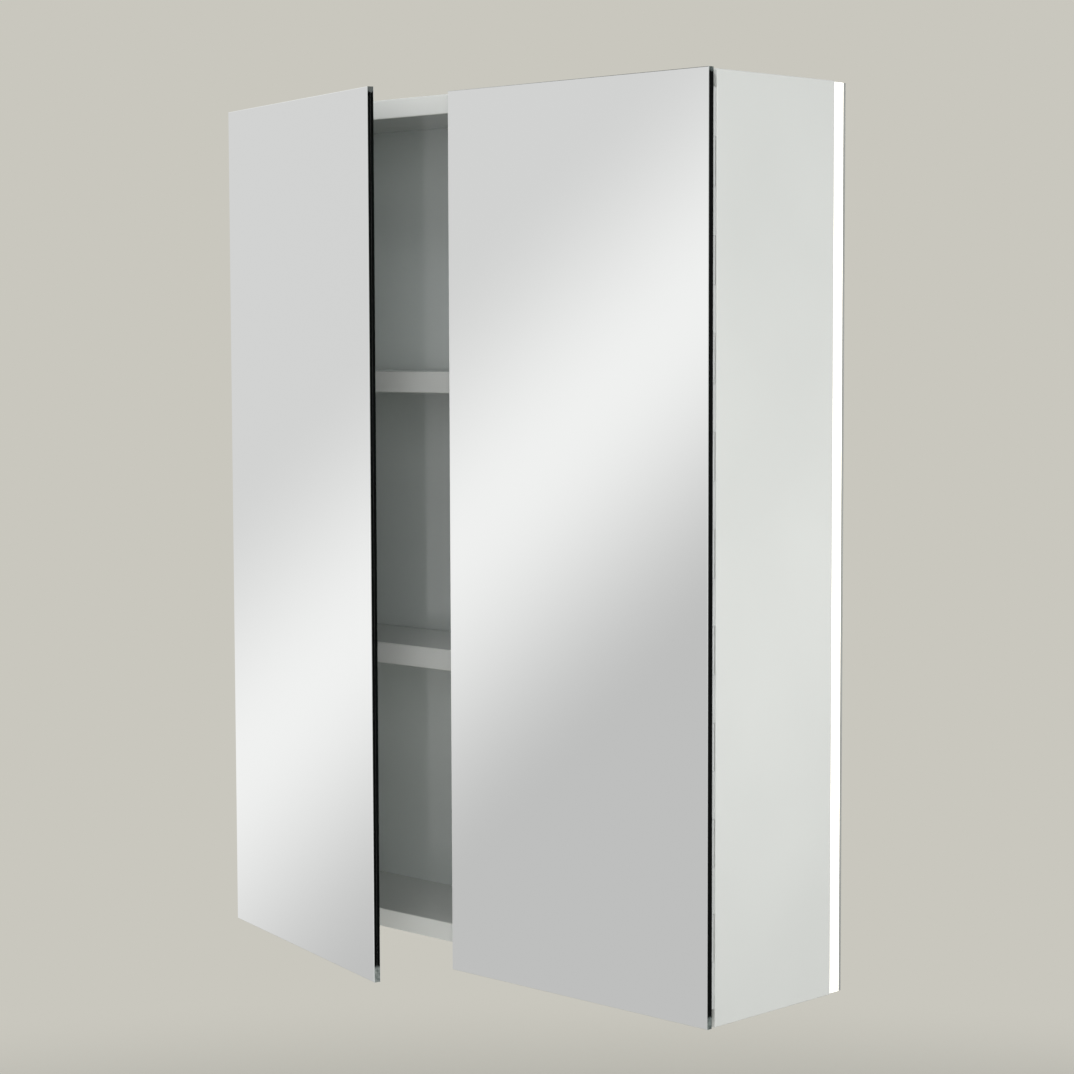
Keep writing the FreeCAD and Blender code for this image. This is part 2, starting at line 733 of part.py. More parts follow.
grommet_height = "(-driver_drop - grommet_drop)"
grommet_seat = (terminal_middle, "0", grommet_height)
grommet_neck = rod("grommet_neck", grommet_seat, "-y", "grommet_radius", "back_cover")
grommet_flange = rod("grommet_flange", (terminal_middle, "-back_cover", grommet_height), "-y",
                     "grommet_radius + grommet_lip", "grommet_lip_depth")
grommet_hole = rod("grommet_hole", grommet_seat, "-y", "cable_radius", "back_cover + grommet_lip_depth")
grommet_blank = fuse("grommet_blank", [grommet_neck, grommet_flange])
nodes["cable_grommet"] = cut("cable_grommet", grommet_blank, [grommet_hole])
cover_hole = rod("cover_cable_hole", grommet_seat, "-y", "grommet_radius + slide_gap", "back_cover")

cover_blank = block("cover_blank", (across("left", "light_inset"), across("right", "light_inset")),
                    ("-back_cover", "0"), (f"{low} + light_inset", f"{top} - light_inset"))
nodes["back_cover"] = cut("back_cover_panel", cover_blank, windows + cover_tools + [cover_hole])


def round_lead(name, points, radius):
    """A lead along straight runs joined by arcs as large as the runs allow."""
    lead = doc.addObject("Part::Feature", name)
    edges = []
    start = points[0]
    for before, corner, after in zip(points, points[1:], points[2:]):
        inward = (corner - before).normalize()
        outward = (after - corner).normalize()
        half_turn = inward.getAngle(outward) / 2
        reach = value("lead_bend_share") * min((corner - before).Length, (after - corner).Length)
        first = corner - inward * reach
        last = corner + outward * reach
        bisector = (outward - inward).normalize()
        bend = reach / math.tan(half_turn)
        centre = corner + bisector * (bend ** 2 + reach ** 2) ** 0.5
        edges.append(Part.LineSegment(start, first).toShape())
        edges.append(Part.Arc(first, centre - bisector * bend, last).toShape())
        start = last
    edges.append(Part.LineSegment(start, points[-1]).toShape())
    path = Part.Wire(edges)
    ring = Part.Wire(Part.Circle(points[0], (points[1] - points[0]).normalize(), radius).toShape())
    lead.Shape = path.makePipeShell([ring], True, True)
    expected = math.pi * radius ** 2 * path.Length
    if abs(lead.Shape.Volume / expected - 1) > 0.001:
        raise RuntimeError(f"{name} lost volume")
    return lead


lead_end_x = value(across("left", web_face))
lead_z = value(lead_height)
lead_points = [
    vector(value("-driver_length / 2"), value(driver_middle_y), lead_z),
    vector(lead_end_x + value("lead_turn"), value(driver_middle_y), lead_z),
    vector(lead_end_x + value("lead_straight"), value(tape_middle), lead_z),
    vector(lead_end_x, value(tape_middle), lead_z),
]
nodes["low_voltage_lead"] = round_lead("low_voltage_lead", lead_points, value("lead_radius"))


# Carcass: sides, top and bottom, with dowels at the corners and the back panel in grooves

groove_depth_span = (f"{back_front} - slide_gap", f"{back_rear} + slide_gap")
groove_height = (f"{floor} - groove_depth", f"{ceiling} + groove_depth")
dowel_depths = (f"({front} + dowel_inset)", f"(({back_rear} + {rear}) / 2)")
dowel_heights = {"top": f"({top} - board / 2)", "bottom": f"({floor} - board / 2)"}
shelf_rises = {"lower": "lower_shelf_rise", "upper": "upper_shelf_rise"}
shelf_depth = (f"({front} + shelf_setback)", f"({back_front} - shelf_back_gap)")
pin_depths = (f"({shelf_depth[0]} + pin_inset)", f"({shelf_depth[1]} - pin_inset)")

dowels = []
dowel_holes = {"left": [], "right": [], "top": [], "bottom": []}
for side in sides:
    for end, height in dowel_heights.items():
        for number, depth in enumerate(dowel_depths, start=1):
            label = f"{side}_{end}_dowel_{number}"
            reach = between(side, "board - dowel_in_side", "board + dowel_in_panel")
            dowels.append(rod(label, (reach[0], depth, height), "x", "dowel_radius",
                              "dowel_in_side + dowel_in_panel"))
            side_reach = between(side, "board - dowel_in_side - dowel_end_gap", "board")
            dowel_holes[side].append(rod(label + "_side_hole", (side_reach[0], depth, height), "x",
                                         "dowel_radius + dowel_play", "dowel_in_side + dowel_end_gap"))
            panel_reach = between(side, "board", "board + dowel_in_panel + dowel_end_gap")
            dowel_holes[end].append(rod(label + "_panel_hole", (panel_reach[0], depth, height), "x",
                                        "dowel_radius + dowel_play", "dowel_in_panel + dowel_end_gap"))
nodes["carcass_dowels"] = group("carcass_dowels", dowels)

shelf_pins = []
pin_holes = {"left": [], "right": []}
for shelf, rise in shelf_rises.items():
    underside = f"({floor} + {rise})"
    pin_height = f"({underside} - pin_flat)"
    shelf_width = (f"-{inner_half} + shelf_side_gap", f"{inner_half} - shelf_side_gap")
    nodes[shelf + "_shelf"] = board_blank(shelf + "_shelf", shelf_width, shelf_depth,
                                          (underside, f"({underside} + shelf_board)"))
    round_front(nodes[shelf + "_shelf"], shelf_depth[0])
    for side in sides:
        for row, depth in enumerate(pin_depths, start=1):
            label = f"{shelf}_{side}_pin_{row}"
            reach = between(side, "board - pin_reach", "board + pin_reach")
            blank = rod(label + "_blank", (reach[0], depth, pin_height), "x", "pin_radius", "2 * pin_reach")
            flat = block(label + "_flat", between(side, "board", "board + pin_reach"),
                         (f"{depth} - pin_radius", f"{depth} + pin_radius"),
                         (underside, f"{underside} + pin_radius"))
            shelf_pins.append(cut(label, blank, [flat]))
            hole_reach = between(side, "board - pin_reach - slide_gap", "board")
            for step in (-1, 0, 1):
                height = f"{pin_height} + {step} * pin_hole_pitch"
                pin_holes[side].append(rod(f"{label}_hole_{step + 1}", (hole_reach[0], depth, height), "x",
                                           "pin_radius + slide_gap", "pin_reach + slide_gap"))
nodes["shelf_pins"] = group("shelf_pins", shelf_pins)

for side in sides:
    blank = board_blank(side + "_side_blank", between(side, "0", "board"), (front, rear), (low, top))
    outer_x = value(across(side, "0"))
    inner_x = value(across(side, "board"))
    front_y = value(front)
    rear_y = value(rear)
    round_edges(blank, side + "_side_edges", "edge_radius", lambda middle: abs(middle.y - rear_y) > near and (
        abs(middle.x - outer_x) < near or (abs(middle.x - inner_x) < near and abs(middle.y - front_y) < near)))
    groove = block(side + "_side_groove", between(side, "board - groove_depth", "board"), groove_depth_span,
                   groove_height)
    tools = [groove] + dowel_holes[side] + pin_holes[side] + hinge_bores[side] + profile_bores[side]
    nodes[side + "_side_panel"] = cut(side + "_side_panel", blank, tools)

magnet_height = f"({top} - board / 2)"
magnet_front = f"({door_rear} + strike_sheet + magnet_gap)"
magnets = []
magnet_holes = []
for side, sign in zip(sides, (-1, 1)):
    magnet_x = f"{sign} * magnet_spacing / 2"
    magnets.append(rod(side + "_magnet", (magnet_x, magnet_front, magnet_height), "y", "magnet_radius",
                       "magnet_length"))
    magnet_holes.append(rod(side + "_magnet_hole", (magnet_x, magnet_front, magnet_height), "y",
                            "magnet_radius + slide_gap", "magnet_length + slide_gap"))
nodes["magnet_catches"] = group("magnet_catches", magnets)

bumpers = []
for end, height in dowel_heights.items():
    for side, sign in zip(sides, (-1, 1)):
        bumpers.append(rod(f"{side}_{end}_bumper", (f"{sign} * bumper_spacing / 2", front, height), "-y",
                           "bumper_radius", "door_gap"))
nodes["door_bumpers"] = group("door_bumpers", bumpers)

top_blank = board_blank("top_blank", inside, (front, rear), (ceiling, top))
round_front(top_blank, front)
top_groove = block("top_groove", inside, groove_depth_span, (ceiling, f"{ceiling} + groove_depth"))
nodes["top_panel"] = cut("top_panel", top_blank, [top_groove] + dowel_holes["top"] + magnet_holes
                         + hanger_bores + profile_bores["top"])
bottom_blank = board_blank("bottom_blank", inside, (front, rear), (f"({floor} - board)", floor))
round_front(bottom_blank, front)
bottom_groove = block("bottom_groove", inside, groove_depth_span, (f"{floor} - groove_depth", floor))
nodes["bottom_panel"] = cut("bottom_panel", bottom_blank, [bottom_groove] + dowel_holes["bottom"]
                            + profile_bores["bottom"])

back_reach = "(groove_depth - groove_end_gap)"
back_blank = block("back_blank", (f"-{inner_half} - {back_reach}", f"{inner_half} + {back_reach}"),
                   (back_front, back_rear), (f"{floor} - {back_reach}", f"{ceiling} + {back_reach}"))
nodes["back_panel"] = cut("back_panel", back_blank, electric_bores + terminal_screw_bores)


# Checks, then one file for each piece

doc.recompute()
for item in doc.Objects:
    if "Invalid" in item.State or "Error" in item.State:
        raise RuntimeError(f"{item.Name} failed: {item.State}")
for name, item in nodes.items():
    item.Label = name
    shape = item.Shape
    if shape.isNull() or not shape.isValid() or not shape.Solids:
        raise RuntimeError(f"{name} has no valid solid")
os.makedirs("parts", exist_ok=True)
for name, item in nodes.items():
    item.Shape.exportStep(f"parts/{name}.step")
    print(f"{name}: {len(item.Shape.Solids)} solids, {item.Shape.Volume:.0f} mm3")
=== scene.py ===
import json
import math

import bmesh
import bpy
from mathutils import Matrix, Vector


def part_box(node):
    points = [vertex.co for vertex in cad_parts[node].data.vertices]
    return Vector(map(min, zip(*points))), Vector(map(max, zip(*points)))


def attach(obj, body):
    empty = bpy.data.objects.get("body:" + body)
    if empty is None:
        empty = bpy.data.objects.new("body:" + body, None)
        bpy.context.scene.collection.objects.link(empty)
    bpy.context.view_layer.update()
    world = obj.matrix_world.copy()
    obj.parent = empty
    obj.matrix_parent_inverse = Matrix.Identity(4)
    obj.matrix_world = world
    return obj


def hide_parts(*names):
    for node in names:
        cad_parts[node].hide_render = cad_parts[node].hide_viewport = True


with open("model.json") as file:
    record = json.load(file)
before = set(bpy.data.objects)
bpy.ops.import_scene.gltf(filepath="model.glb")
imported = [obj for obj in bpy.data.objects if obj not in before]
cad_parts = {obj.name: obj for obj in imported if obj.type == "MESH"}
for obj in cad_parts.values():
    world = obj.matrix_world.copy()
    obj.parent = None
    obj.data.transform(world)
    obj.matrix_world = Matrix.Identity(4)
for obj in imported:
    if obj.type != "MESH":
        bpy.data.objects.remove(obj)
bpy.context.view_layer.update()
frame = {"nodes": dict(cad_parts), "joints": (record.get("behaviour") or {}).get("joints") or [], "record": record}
cadNodes = frame["nodes"]
doorLow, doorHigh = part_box("right_front_pane")
mm = 0.001  # the frame is in metres
print("frame loaded,", len(cadNodes), "nodes")


# sRGB hex to the linear colour that a socket takes
def linear(hexColour):
    channels = [int(hexColour[start:start + 2], 16) / 255 for start in (1, 3, 5)]
    return [c / 12.92 if c <= 0.04045 else ((c + 0.055) / 1.055) ** 2.4 for c in channels] + [1]


# one node with its settings and links; stops fill a ramp
def addNode(tree, kind, settings=None, links=None, stops=None):
    node = tree.nodes.new("ShaderNode" + kind)
    for name, setting in (settings or {}).items():
        if isinstance(name, int) or name in node.inputs:
            node.inputs[name].default_value = setting
        else:
            setattr(node, name, setting)
    for name, source in (links or {}).items():
        tree.links.new(source, node.inputs[name])
    for number, (position, hexColour) in enumerate(stops or []):
        elements = node.color_ramp.elements
        stop = elements[number] if number < 2 else elements.new(position)
        stop.position = position
        stop.color = linear(hexColour)
    return node


# an empty material with a Principled shader on its output
def newFinish(name):
    finish = bpy.data.materials.new(name)
    finish.use_nodes = True
    tree = finish.node_tree
    tree.nodes.clear()
    shader = addNode(tree, "BsdfPrincipled")
    addNode(tree, "OutputMaterial", links={"Surface": shader.outputs[0]})
    return finish, tree, shader


# Carcass finish

lacquer = {
    "tones": {"sprayedPolyurethaneLacquer": ("#dbddda", "#dfe1de"),
              # the back's tones are cooled and lightened as painted light for the shaded inside
              "lacqueredHardboardInteriorLight": ("#dfe5e3", "#e3e9e7")},
    "cloud": 180,  # mm, drift of the sprayed coat
    "buffing": 45,  # mm, patches left by the polishing pad
    "peel": 2.5,  # mm, orange peel of a sprayed coat
    "peelDepth": 0.012,  # mm
    "gloss": (0.04, 0.08),
}


# Polyurethane lacquer sprayed on board and buffed: an even white with a clear gloss and faint orange peel;
# on the hardboard of the back it is cooler and a little lighter, partly its own tone and partly painted light
# for the cool, shaded inside of the cabinet
def makeLacquer(name):
    finish, tree, shader = newFinish(name)
    shade, pale = lacquer["tones"][name]
    spot = addNode(tree, "TexCoord").outputs["Object"]
    cloud = addNode(tree, "TexNoise", {"Scale": 1 / (lacquer["cloud"] * mm), "Detail": 2},
                    {"Vector": spot})
    tone = addNode(tree, "ValToRGB", links={"Fac": cloud.outputs["Fac"]},
                   stops=[(0.35, shade), (0.65, pale)])
    buffed = addNode(tree, "TexNoise", {"Scale": 1 / (lacquer["buffing"] * mm), "Detail": 3},
                     {"Vector": spot})
    gloss = addNode(tree, "MapRange", {"From Min": 0.3, "From Max": 0.7, "To Min": lacquer["gloss"][0],
                                       "To Max": lacquer["gloss"][1]}, {"Value": buffed.outputs["Fac"]})
    peel = addNode(tree, "TexNoise", {"Scale": 1 / (lacquer["peel"] * mm), "Detail": 1},
                   {"Vector": spot})
    bump = addNode(tree, "Bump", {"Strength": 0.5, "Distance": lacquer["peelDepth"] * mm},
                   {"Height": peel.outputs["Fac"]})
    shader.inputs["IOR"].default_value = 1.5
    tree.links.new(tone.outputs["Color"], shader.inputs["Base Color"])
    tree.links.new(gloss.outputs["Result"], shader.inputs["Roughness"])
    tree.links.new(bump.outputs["Normal"], shader.inputs["Normal"])
    return finish


# Door finish

mirror = {
    "silver": "#f6f7f6",
    "arris": "#f4f7f5",
    "edge": "#030404",
    "edgeSheen": "#0f1110",
    # ends of the upright edges, where the black paint stops short: painted light seen through the glass ends,
    # lighter on the left door. Their dark and light tones, the mm from the bottom and from the top over which
    # the paint begins, and the share of the pale kept at the top, less on the left door as painted shade
    "endLight": {"left": {"tones": ("#626967", "#a8aeac"), "bottom": (12, 14.5), "top": (3.5, 4.5),
                      "topLightShare": 0.4},
             "right": {"tones": ("#3b4341", "#808886"), "bottom": (9.3, 10.3), "top": (2.5, 3.5),
                       "topLightShare": 1}},
    "level": ("#545d5a", "#68716e"),  # top and bottom edges, which have no paint
    "grind": 1.6,  # mm, chatter of the grinding wheel
    "mottle": 3.4,  # mm, drift of the ground finish
    "waver": 5,  # mm, unevenness of the paint's end
    "edgeRough": (0.3, 0.5),
    "arrisRough": 0.16,
    "faceRough": 0.012,
    "edgeShine": 0.03,  # specular level of matt paint
}


# Float glass silvered behind, edges ground and arrissed: a clean mirror, bright thin arrisses, almost black
# upright edges and dull green grey ones above and below
def makeMirror(name, faceWay, endLight):
    finish, tree, shader = newFinish(name)
    place = addNode(tree, "TexCoord")
    facing = addNode(tree, "VectorMath", {"operation": "DOT_PRODUCT", 1: faceWay},
                     {0: place.outputs["Normal"]})
    height = addNode(tree, "SeparateXYZ", links={"Vector": place.outputs["Object"]})
    grind = addNode(tree, "TexNoise", {"Scale": 1 / (mirror["grind"] * mm), "Detail": 2},
                    {"Vector": place.outputs["Object"]})
    mottle = addNode(tree, "TexNoise", {"Scale": 1 / (mirror["mottle"] * mm), "Detail": 2},
                     {"Vector": place.outputs["Object"]})
    # how far a point is past the painted stretch of the edge, uneven by a few millimetres
    waver = addNode(tree, "Math", {"operation": "SUBTRACT", 1: 0.5}, {0: mottle.outputs["Fac"]})
    upright = addNode(tree, "Math", {"operation": "MULTIPLY_ADD", 1: mirror["waver"] * mm},
                      {0: waver.outputs[0], 2: height.outputs["Z"]})
    # at the top only a share of the pale is kept, so the left door's top end carries painted shade
    overTop = addNode(tree, "MapRange", {"From Min": doorHigh.z - endLight["top"][1] * mm,
                                         "From Max": doorHigh.z - endLight["top"][0] * mm,
                                         "To Max": endLight["topLightShare"]},
                      {"Value": upright.outputs[0]})
    overBottom = addNode(tree, "MapRange", {"From Min": doorLow.z + endLight["bottom"][1] * mm,
                                            "From Max": doorLow.z + endLight["bottom"][0] * mm},
                         {"Value": upright.outputs[0]})
    isEndLight = addNode(tree, "Math", {"operation": "MAXIMUM"}, {0: overTop.outputs["Result"],
                                                              1: overBottom.outputs["Result"]})
    painted = addNode(tree, "ValToRGB", links={"Fac": grind.outputs["Fac"]},
                      stops=[(0.35, mirror["edge"]), (0.8, mirror["edgeSheen"])])
    # pale tones of the ends: painted light seen through the glass where the black paint stops
    endLightTone = addNode(tree, "ValToRGB", links={"Fac": mottle.outputs["Fac"]},
                     stops=[(0.3, endLight["tones"][0]), (0.7, endLight["tones"][1])])
    edge = addNode(tree, "Mix", {"data_type": "RGBA"},
                   {0: isEndLight.outputs[0], 6: painted.outputs["Color"], 7: endLightTone.outputs["Color"]})
    way = addNode(tree, "SeparateXYZ", links={"Vector": place.outputs["Normal"]})
    isLevel = addNode(tree, "Math", {"operation": "ABSOLUTE"}, {0: way.outputs["Z"]})
    level = addNode(tree, "ValToRGB", links={"Fac": grind.outputs["Fac"]},
                    stops=[(0.35, mirror["level"][0]), (0.65, mirror["level"][1])])
    rim = addNode(tree, "Mix", {"data_type": "RGBA"},
                  {0: isLevel.outputs[0], 6: edge.outputs[2], 7: level.outputs["Color"]})
    # the mirror faces out of the door, arrisses stand at 45 degrees, and the rest is edge or bonded face
    isGlass = addNode(tree, "Math", {"operation": "GREATER_THAN", 1: 0.4}, {0: facing.outputs["Value"]})
    isFace = addNode(tree, "Math", {"operation": "GREATER_THAN", 1: 0.9}, {0: facing.outputs["Value"]})
    bright = addNode(tree, "ValToRGB", links={"Fac": isFace.outputs[0]},
                     stops=[(0.2, mirror["arris"]), (0.8, mirror["silver"])])
    colour = addNode(tree, "Mix", {"data_type": "RGBA"},
                     {0: isGlass.outputs[0], 6: rim.outputs[2], 7: bright.outputs["Color"]})
    finest, dullest = mirror["edgeRough"]
    edgeRough = addNode(tree, "MapRange", {"To Min": finest, "To Max": dullest},
                        {"Value": grind.outputs["Fac"]})
    glassRough = addNode(tree, "MapRange", {"To Min": mirror["arrisRough"], "To Max": mirror["faceRough"]},
                         {"Value": isFace.outputs[0]})
    rough = addNode(tree, "Mix", {"data_type": "FLOAT"},
                    {0: isGlass.outputs[0], 2: edgeRough.outputs["Result"],
                     3: glassRough.outputs["Result"]})
    shader.inputs["Specular IOR Level"].default_value = mirror["edgeShine"]
    tree.links.new(colour.outputs[2], shader.inputs["Base Color"])
    tree.links.new(isGlass.outputs[0], shader.inputs["Metallic"])
    tree.links.new(rough.outputs[0], shader.inputs["Roughness"])
    return finish


film = {
    "light": "#828684",
    "dark": "#5c605e",
    "speck": 1.2,  # mm
    "rough": 0.55,
}


# Rolled adhesive film between the panes: a thin dull line in the dark edge
def makeFilm():
    finish, tree, shader = newFinish("rolledAdhesiveFilm")
    spot = addNode(tree, "TexCoord").outputs["Object"]
    speck = addNode(tree, "TexNoise", {"Scale": 1 / (film["speck"] * mm), "Detail": 2}, {"Vector": spot})
    tone = addNode(tree, "ValToRGB", links={"Fac": speck.outputs["Fac"]},
                   stops=[(0.35, film["dark"]), (0.7, film["light"])])
    shader.inputs["Roughness"].default_value = film["rough"]
    tree.links.new(tone.outputs["Color"], shader.inputs["Base Color"])
    return finish


# Metals

zinc = {
    "light": "#cdcfcd",
    "dull": "#c0c3c3",
    "spangle": 9,  # mm, drift of the plating
    "rolling": (0.7, 60),  # mm across and along the rolled strip
    "rollingDepth": 0.01,  # mm
    "gloss": (0.28, 0.42),
}


# Cold rolled steel, zinc plated: a pale satin metal with fine rolling lines along the strip
def makeZinc(name, along):
    finish, tree, shader = newFinish(name)
    spot = addNode(tree, "TexCoord").outputs["Object"]
    stretch = [1 / (zinc["rolling"][1 if axis == along else 0] * mm) for axis in "xyz"]
    rolled = addNode(tree, "Mapping", {"Scale": stretch}, {"Vector": spot})
    lines = addNode(tree, "TexNoise", {"Scale": 1, "Detail": 2}, {"Vector": rolled.outputs["Vector"]})
    plating = addNode(tree, "TexNoise", {"Scale": 1 / (zinc["spangle"] * mm), "Detail": 3},
                      {"Vector": spot})
    tone = addNode(tree, "ValToRGB", links={"Fac": plating.outputs["Fac"]},
                   stops=[(0.35, zinc["dull"]), (0.65, zinc["light"])])
    gloss = addNode(tree, "MapRange", {"From Min": 0.3, "From Max": 0.7, "To Min": zinc["gloss"][0],
                                       "To Max": zinc["gloss"][1]}, {"Value": lines.outputs["Fac"]})
    bump = addNode(tree, "Bump", {"Strength": 0.4, "Distance": zinc["rollingDepth"] * mm},
                   {"Height": lines.outputs["Fac"]})
    shader.inputs["Metallic"].default_value = 1
    tree.links.new(tone.outputs["Color"], shader.inputs["Base Color"])
    tree.links.new(gloss.outputs["Result"], shader.inputs["Roughness"])
    tree.links.new(bump.outputs["Normal"], shader.inputs["Normal"])
    return finish


powderAndGapShade = {
    # grey of the hinge coat, set darker to paint the shade in the gap between door and side
    "light": "#c9cbca",
    "dark": "#c2c4c3",
    "drift": 30,  # mm
    "peel": 1.4,  # mm, texture of the cured powder
    "peelDepth": 0.02,  # mm
    "rough": 0.38,
}


# Steel strip powder coated light grey: an even half gloss with a fine pebbled skin; the grey, darker than
# the white carcass, is partly its own colour and partly painted shade for the narrow gap where the hinges sit
def makePowderCoatAndGapShade():
    finish, tree, shader = newFinish("powderCoatedSteelGapShade")
    spot = addNode(tree, "TexCoord").outputs["Object"]
    drift = addNode(tree, "TexNoise", {"Scale": 1 / (powderAndGapShade["drift"] * mm), "Detail": 2},
                    {"Vector": spot})
    tone = addNode(tree, "ValToRGB", links={"Fac": drift.outputs["Fac"]},
                   stops=[(0.35, powderAndGapShade["dark"]), (0.65, powderAndGapShade["light"])])
    peel = addNode(tree, "TexNoise", {"Scale": 1 / (powderAndGapShade["peel"] * mm), "Detail": 1},
                   {"Vector": spot})
    bump = addNode(tree, "Bump", {"Strength": 0.5, "Distance": powderAndGapShade["peelDepth"] * mm},
                   {"Height": peel.outputs["Fac"]})
    shader.inputs["Roughness"].default_value = powderAndGapShade["rough"]
    tree.links.new(tone.outputs["Color"], shader.inputs["Base Color"])
    tree.links.new(bump.outputs["Normal"], shader.inputs["Normal"])
    return finish


anodised = {
    "light": "#cdd0d1",
    "dull": "#bfc2c4",
    "dieLines": (0.5, 220),  # mm across and along the extrusion
    "gloss": (0.3, 0.4),
}


# Extruded aluminium, satin anodised: a cool grey metal with long die lines
def makeAnodised(name, along):
    finish, tree, shader = newFinish(name)
    spot = addNode(tree, "TexCoord").outputs["Object"]
    stretch = [1 / (anodised["dieLines"][1 if axis == along else 0] * mm) for axis in "xyz"]
    drawn = addNode(tree, "Mapping", {"Scale": stretch}, {"Vector": spot})
    lines = addNode(tree, "TexNoise", {"Scale": 1, "Detail": 3}, {"Vector": drawn.outputs["Vector"]})
    tone = addNode(tree, "ValToRGB", links={"Fac": lines.outputs["Fac"]},
                   stops=[(0.35, anodised["dull"]), (0.65, anodised["light"])])
    gloss = addNode(tree, "MapRange", {"From Min": 0.3, "From Max": 0.7, "To Min": anodised["gloss"][0],
                                       "To Max": anodised["gloss"][1]}, {"Value": lines.outputs["Fac"]})
    shader.inputs["Metallic"].default_value = 1
    tree.links.new(tone.outputs["Color"], shader.inputs["Base Color"])
    tree.links.new(gloss.outputs["Result"], shader.inputs["Roughness"])
    return finish


# Light frame

opal = {
    "body": "#f3f3ed",
    "lamp": "#fffdf4",
    "between": "#fff6e4",  # a little warmer between two lamps
    "pitch": 33,  # mm between lamps
    "strength": 1.5,
    "rough": 0.35,
}


# Extruded opal acrylic lit from behind: an even warm white glow, a trace softer between the lamps
def makeOpal():
    finish, tree, shader = newFinish("extrudedOpalAcrylic")
    spot = addNode(tree, "TexCoord").outputs["Object"]
    along = addNode(tree, "VectorMath", {"operation": "DOT_PRODUCT", 1: (1, 0, 1)}, {0: spot})
    phase = addNode(tree, "Math", {"operation": "MULTIPLY", 1: 2 * math.pi / (opal["pitch"] * mm)},
                    {0: along.outputs["Value"]})
    wave = addNode(tree, "Math", {"operation": "SINE"}, {0: phase.outputs[0]})
    lit = addNode(tree, "MapRange", {"From Min": -1, "From Max": 1}, {"Value": wave.outputs[0]})
    glow = addNode(tree, "ValToRGB", links={"Fac": lit.outputs["Result"]},
                   stops=[(0, opal["between"]), (1, opal["lamp"])])
    shader.inputs["Base Color"].default_value = linear(opal["body"])
    shader.inputs["Roughness"].default_value = opal["rough"]
    shader.inputs["IOR"].default_value = 1.49
    shader.inputs["Emission Strength"].default_value = opal["strength"]
    tree.links.new(glow.outputs["Color"], shader.inputs["Emission Color"])
    return finish


tape = {
    "white": "#ece9dd",
    "pad": "#c8a070",
    "padLength": 3,  # mm
    "pitch": 33,  # mm
    "rough": 0.5,
}


# Flexible printed tape under white solder mask: matt white with bare copper pads at every cutting place
def makeTape():
    finish, tree, shader = newFinish("solderMaskedTape")
    spot = addNode(tree, "TexCoord").outputs["Object"]
    along = addNode(tree, "VectorMath", {"operation": "DOT_PRODUCT", 1: (1, 0, 1)}, {0: spot})
    turns = addNode(tree, "Math", {"operation": "DIVIDE", 1: tape["pitch"] * mm},
                    {0: along.outputs["Value"]})
    share = addNode(tree, "Math", {"operation": "FRACT"}, {0: turns.outputs[0]})
    isPad = addNode(tree, "Math", {"operation": "LESS_THAN", 1: tape["padLength"] / tape["pitch"]},
                    {0: share.outputs[0]})
    tone = addNode(tree, "ValToRGB", links={"Fac": isPad.outputs[0]},
                   stops=[(0.3, tape["white"]), (0.7, tape["pad"])])
    shader.inputs["Roughness"].default_value = tape["rough"]
    tree.links.new(tone.outputs["Color"], shader.inputs["Base Color"])
    return finish


# Plastics, rubber and wood

coverSheet = {
    "light": "#a5a7a4",
    "dark": "#a0a29f",
    "grain": 1.1,  # mm, drawn a little coarser than the real leather grain so that it shows
    "grainDepth": 0.05,  # mm
    "drift": 90,  # mm, cloudiness of the sheet
    "rough": 0.62,
}


# Polypropylene sheet, rolled with a fine matt grain: an even mid grey with no gloss
def makeCoverSheet():
    finish, tree, shader = newFinish("grainedPolypropyleneSheet")
    spot = addNode(tree, "TexCoord").outputs["Object"]
    grain = addNode(tree, "TexVoronoi", {"Scale": 1 / (coverSheet["grain"] * mm)}, {"Vector": spot})
    drift = addNode(tree, "TexNoise", {"Scale": 1 / (coverSheet["drift"] * mm), "Detail": 3},
                    {"Vector": spot})
    tone = addNode(tree, "ValToRGB", links={"Fac": drift.outputs["Fac"]},
                   stops=[(0.35, coverSheet["dark"]), (0.65, coverSheet["light"])])
    bump = addNode(tree, "Bump", {"Strength": 0.4, "Distance": coverSheet["grainDepth"] * mm},
                   {"Height": grain.outputs["Distance"]})
    shader.inputs["Roughness"].default_value = coverSheet["rough"]
    tree.links.new(tone.outputs["Color"], shader.inputs["Base Color"])
    tree.links.new(bump.outputs["Normal"], shader.inputs["Normal"])
    return finish


# Plastics and rubber from a mould or a die share one build: a fine grain and a slight drift of tone, in mm
moulded = {
    "injectionMouldedAbs": {"light": "#e8e8e4", "dark": "#dededa", "grain": 0.8, "depth": 0.02,
                            "drift": 14, "rough": 0.42},
    "extrudedPvcJacket": {"light": "#e9e9e6", "dark": "#dcdcd8", "grain": 1.5, "depth": 0.01,
                          "drift": 14, "rough": 0.5},
    "mouldedEpdmRubber": {"light": "#1d1d1d", "dark": "#131313", "grain": 0.9, "depth": 0.03,
                          "drift": 14, "rough": 0.75},
}


# ABS shows a silky off-white, PVC a softer one, EPDM a dull black
def makeMoulded(name):
    look = moulded[name]
    finish, tree, shader = newFinish(name)
    spot = addNode(tree, "TexCoord").outputs["Object"]
    grain = addNode(tree, "TexNoise", {"Scale": 1 / (look["grain"] * mm), "Detail": 2}, {"Vector": spot})
    drift = addNode(tree, "TexNoise", {"Scale": 1 / (look["drift"] * mm), "Detail": 2}, {"Vector": spot})
    tone = addNode(tree, "ValToRGB", links={"Fac": drift.outputs["Fac"]},
                   stops=[(0.35, look["dark"]), (0.65, look["light"])])
    bump = addNode(tree, "Bump", {"Strength": 0.4, "Distance": look["depth"] * mm},
                   {"Height": grain.outputs["Fac"]})
    shader.inputs["Roughness"].default_value = look["rough"]
    tree.links.new(tone.outputs["Color"], shader.inputs["Base Color"])
    tree.links.new(bump.outputs["Normal"], shader.inputs["Normal"])
    return finish


clearCast = {
    "body": "#eef1ef",
    "haze": 1.8,  # mm
    "gloss": (0.08, 0.2),
    "clear": 0.15,  # share of light that passes
}


